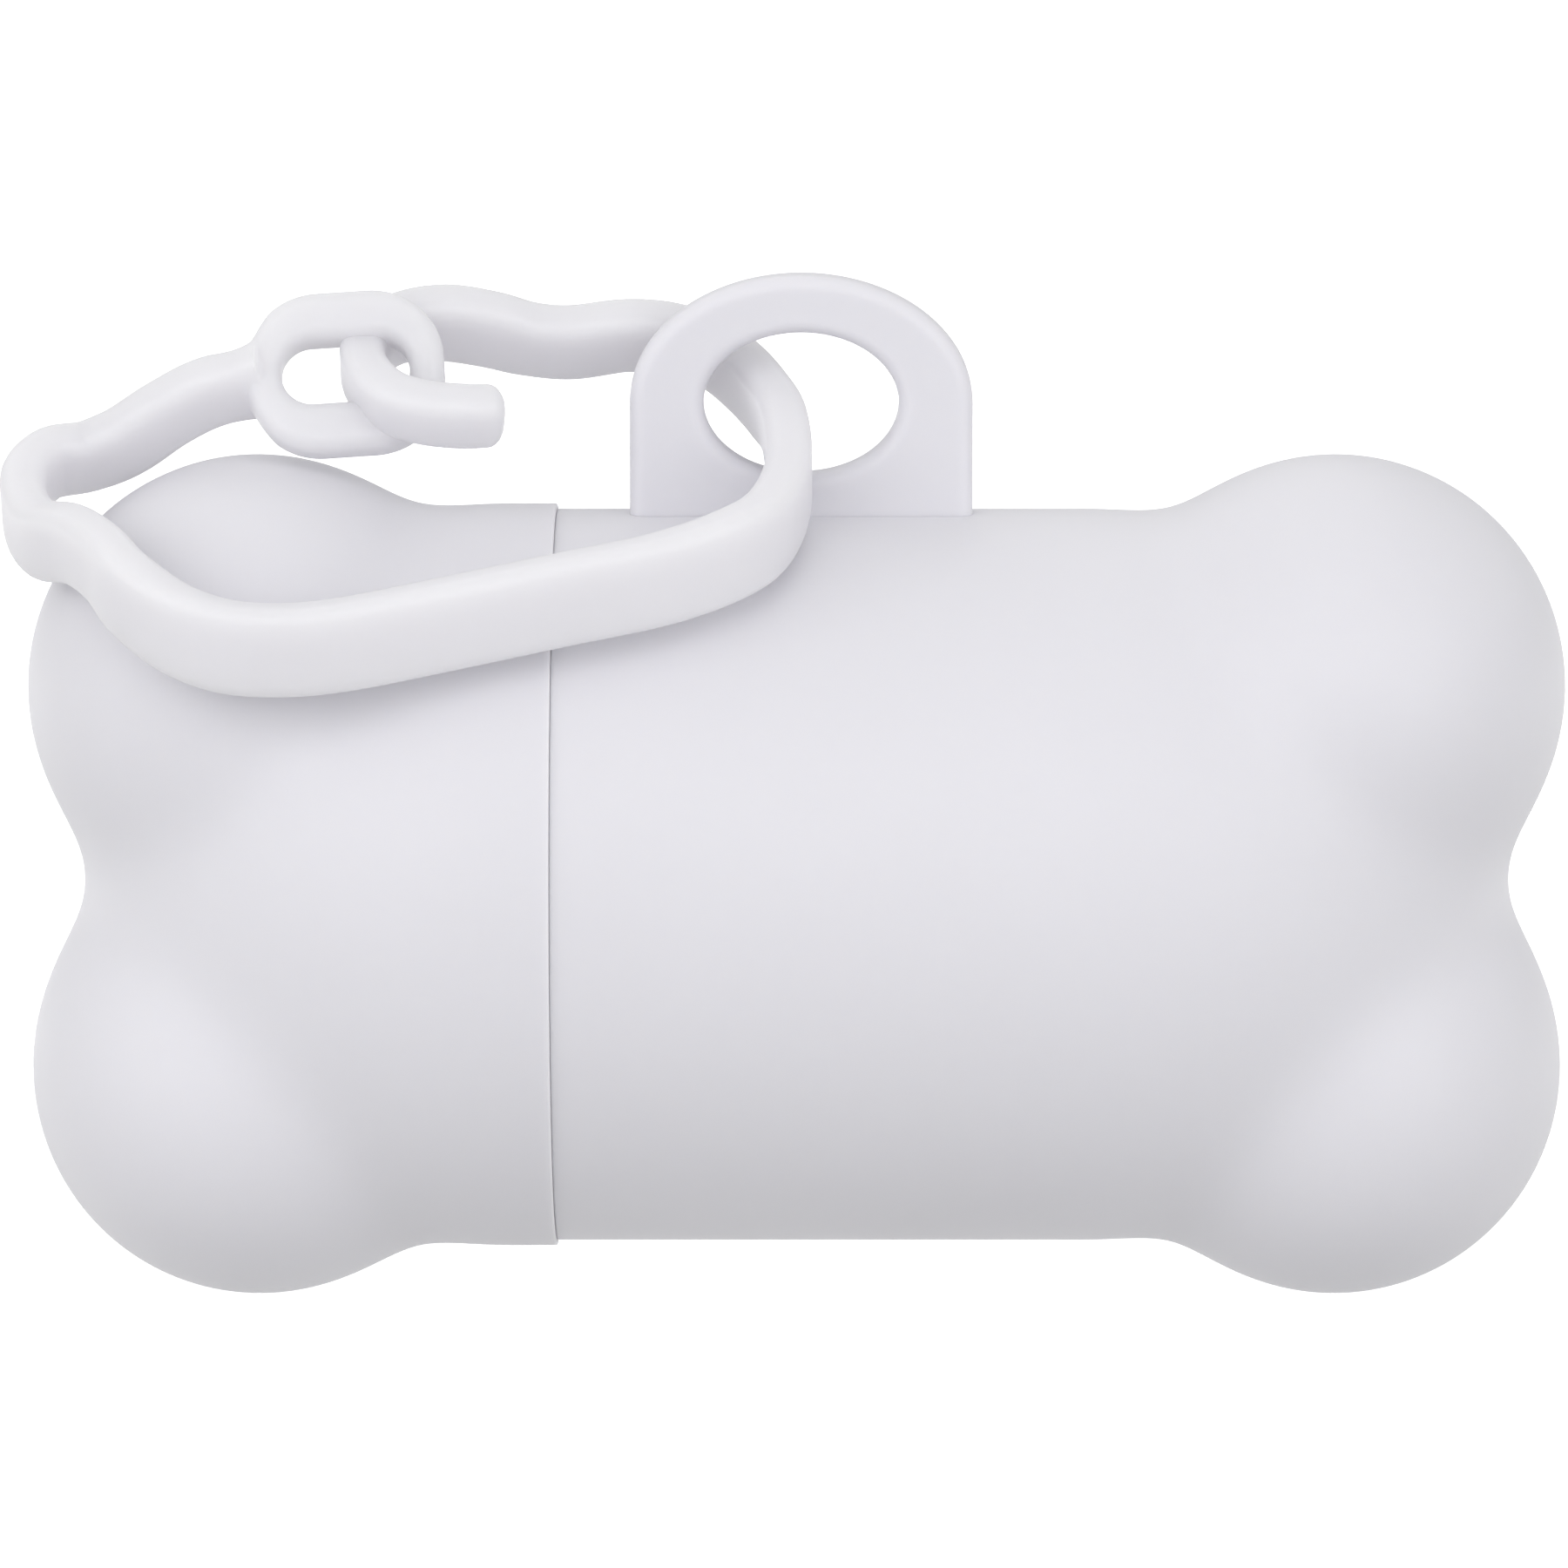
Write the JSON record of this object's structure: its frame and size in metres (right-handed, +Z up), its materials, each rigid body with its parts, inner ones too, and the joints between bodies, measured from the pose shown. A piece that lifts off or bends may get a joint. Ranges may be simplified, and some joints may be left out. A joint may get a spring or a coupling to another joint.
{
  "type": "dog waste bag dispenser",
  "caption": "Bone-shaped plastic case for a roll of dog waste bags, with a pull-off end cap, a bag slot, a hanging tab and a hook-and-link strap.",
  "frame": {"origin": "centre of the eye in the hanging tab, in the middle of the tab's thickness", "axes": "+X along the bone from the pull-off cap towards the fixed end, +Y towards the side with the bag slot, +Z up, out of the barrel through the tab"},
  "size_m": [0.0859, 0.041, 0.0566],
  "materials": {
    "case_plastic": "smooth matte",
    "strap_plastic": "smooth matte, soft",
    "bag_film": "thin wound film",
    "core_card": "wound card"
  },
  "bodies": {
    "housing": {"housing": "case_plastic"},
    "cap": {"end_cap": "case_plastic"},
    "strap": {"strap": "strap_plastic"},
    "roll": {"roll_core": "core_card", "bag_roll": "bag_film"}
  },
  "joints": [
    {"name": "cap_pull", "type": "slide", "parent": "housing", "child": "cap", "axis": [-1, 0, 0], "range_m": [0, 0.024]},
    {"name": "strap_swing", "type": "hinge", "parent": "housing", "child": "strap", "pos_m": [0, 0, 0], "axis": [0, 1, 0], "range_deg": [0, 90]},
    {"name": "roll_spin", "type": "hinge", "parent": "housing", "child": "roll", "pos_m": [-0.00025, 0, -0.0271], "axis": [1, 0, 0], "continuous": true}
  ],
  "couplings": [
    {"joint": "strap_swing", "follows": "cap_pull", "rad_per_m": 65}
  ]
}
